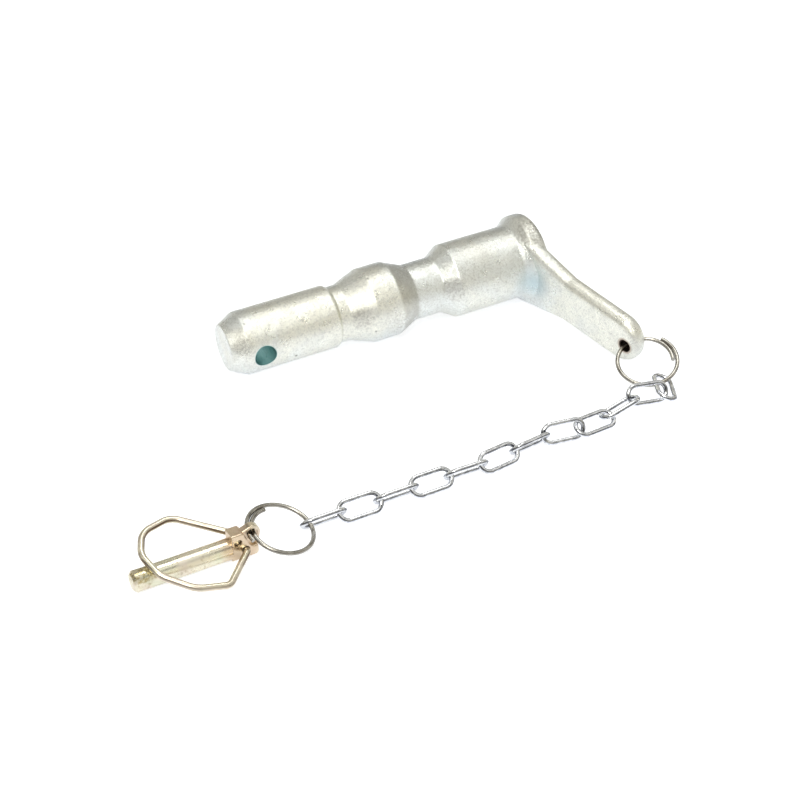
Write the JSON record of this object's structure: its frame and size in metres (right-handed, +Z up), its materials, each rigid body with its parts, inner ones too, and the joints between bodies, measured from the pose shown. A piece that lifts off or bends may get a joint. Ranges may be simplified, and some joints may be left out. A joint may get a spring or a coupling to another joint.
{
  "type": "coupling pin",
  "caption": "Forged zinc-plated coupling pin with a leaning flat arm, and a linch pin with spring bail kept on it by a welded-link chain between two split rings.",
  "frame": {"origin": "on the floor, under the middle of the whole part's outline as it lies", "axes": "+X along the coupling pin from its chamfered tip to its arm, +Y from the chain towards the coupling pin, +Z up from the floor it lies on"},
  "size_m": [0.2864, 0.1678, 0.0447],
  "materials": {
    "zinc_forging": "satin",
    "chain_zinc": "gloss",
    "nickel_wire": "gloss",
    "yellow_zinc": "gloss"
  },
  "bodies": {
    "pin_forging": {"pin_forging": "zinc_forging"},
    "arm_split_ring": {"arm_split_ring": "nickel_wire"},
    "chain_link_01": {"chain_link_01": "chain_zinc"},
    "chain_link_02": {"chain_link_02": "chain_zinc"},
    "chain_link_03": {"chain_link_03": "chain_zinc"},
    "chain_link_04": {"chain_link_04": "chain_zinc"},
    "chain_link_05": {"chain_link_05": "chain_zinc"},
    "chain_link_06": {"chain_link_06": "chain_zinc"},
    "chain_link_07": {"chain_link_07": "chain_zinc"},
    "chain_link_08": {"chain_link_08": "chain_zinc"},
    "chain_link_09": {"chain_link_09": "chain_zinc"},
    "chain_link_10": {"chain_link_10": "chain_zinc"},
    "chain_link_11": {"chain_link_11": "chain_zinc"},
    "chain_link_12": {"chain_link_12": "chain_zinc"},
    "linch_split_ring": {"linch_split_ring": "nickel_wire"},
    "linch_pin": {"linch_pin": "yellow_zinc"},
    "linch_bail": {"linch_bail": "yellow_zinc"}
  },
  "joints": [
    {"name": "arm_ring_swing", "type": "hinge", "parent": "pin_forging", "child": "arm_split_ring", "pos_m": [0.12722, -0.01322, 0.01114], "axis": [-0.9806, 0.0229, -0.1948], "range_deg": [-20, 80]},
    {"name": "link_12_swing", "type": "hinge", "parent": "arm_split_ring", "child": "chain_link_12", "pos_m": [0.12823, -0.04012, 0.00423], "axis": [0.4032, 0.9126, -0.0677], "range_deg": [0, 80]},
    {"name": "link_11_swing", "type": "hinge", "parent": "chain_link_12", "child": "chain_link_11", "pos_m": [0.12359, -0.04942, 0.00674], "axis": [-0.3384, 0.0799, -0.9376], "range_deg": [-80, 10]},
    {"name": "link_10_swing", "type": "hinge", "parent": "chain_link_11", "child": "chain_link_10", "pos_m": [0.10696, -0.04995, 0.00833], "axis": [-0.0002, 0.8522, -0.5232], "range_deg": [-75, 75]},
    {"name": "link_09_swing", "type": "hinge", "parent": "chain_link_10", "child": "chain_link_09", "pos_m": [0.08745, -0.05263, 0.00486], "axis": [0.0426, -0.4044, 0.9136], "range_deg": [-70, 75]},
    {"name": "link_08_swing", "type": "hinge", "parent": "chain_link_09", "child": "chain_link_08", "pos_m": [0.07547, -0.05544, 0.00518], "axis": [0.0426, -0.4044, 0.9136], "range_deg": [-50, 75]},
    {"name": "link_07_swing", "type": "hinge", "parent": "chain_link_08", "child": "chain_link_07", "pos_m": [0.05555, -0.05369, 0.00555], "axis": [-0.0497, -0.3712, -0.9272], "range_deg": [-75, 28]},
    {"name": "link_06_swing", "type": "hinge", "parent": "chain_link_07", "child": "chain_link_06", "pos_m": [0.03826, -0.05643, 0.00454], "axis": [-0.0919, 0.5805, -0.809], "range_deg": [-75, 75]},
    {"name": "link_05_swing", "type": "hinge", "parent": "chain_link_06", "child": "chain_link_05", "pos_m": [0.02098, -0.05917, 0.00411], "axis": [0.1106, -0.6984, -0.7071], "range_deg": [-75, 75]},
    {"name": "link_04_swing", "type": "hinge", "parent": "chain_link_05", "child": "chain_link_04", "pos_m": [0.00349, -0.05978, 0.00454], "axis": [0.0205, -0.5874, 0.809], "range_deg": [-75, 75]},
    {"name": "link_03_swing", "type": "hinge", "parent": "chain_link_04", "child": "chain_link_03", "pos_m": [-0.01399, -0.06069, 0.00411], "axis": [-0.037, 0.7061, 0.7071], "range_deg": [-75, 75]},
    {"name": "link_02_swing", "type": "hinge", "parent": "chain_link_03", "child": "chain_link_02", "pos_m": [-0.03146, -0.06161, 0.00454], "axis": [-0.0308, 0.587, -0.809], "range_deg": [-75, 75]},
    {"name": "link_01_swing", "type": "hinge", "parent": "chain_link_02", "child": "chain_link_01", "pos_m": [-0.04895, -0.06222, 0.00411], "axis": [-0.0247, 0.7067, 0.7071], "range_deg": [-75, 75]},
    {"name": "linch_ring_swing", "type": "hinge", "parent": "chain_link_01", "child": "linch_split_ring", "pos_m": [-0.06245, -0.06285, 0.00315], "axis": [0.0423, -0.8079, -0.5878], "range_deg": [-75, 75]},
    {"name": "linch_pin_swing", "type": "hinge", "parent": "linch_split_ring", "child": "linch_pin", "pos_m": [-0.08665, -0.05846, 0.01051], "axis": [0.5193, 0.8536, 0.04], "range_deg": [-35, 15]},
    {"name": "bail_swing", "type": "hinge", "parent": "linch_pin", "child": "linch_bail", "pos_m": [-0.09532, -0.06367, 0.0066], "axis": [-0.0523, 0.9986, 0], "range_deg": [0, 150], "deforming": ["linch_bail"]}
  ]
}
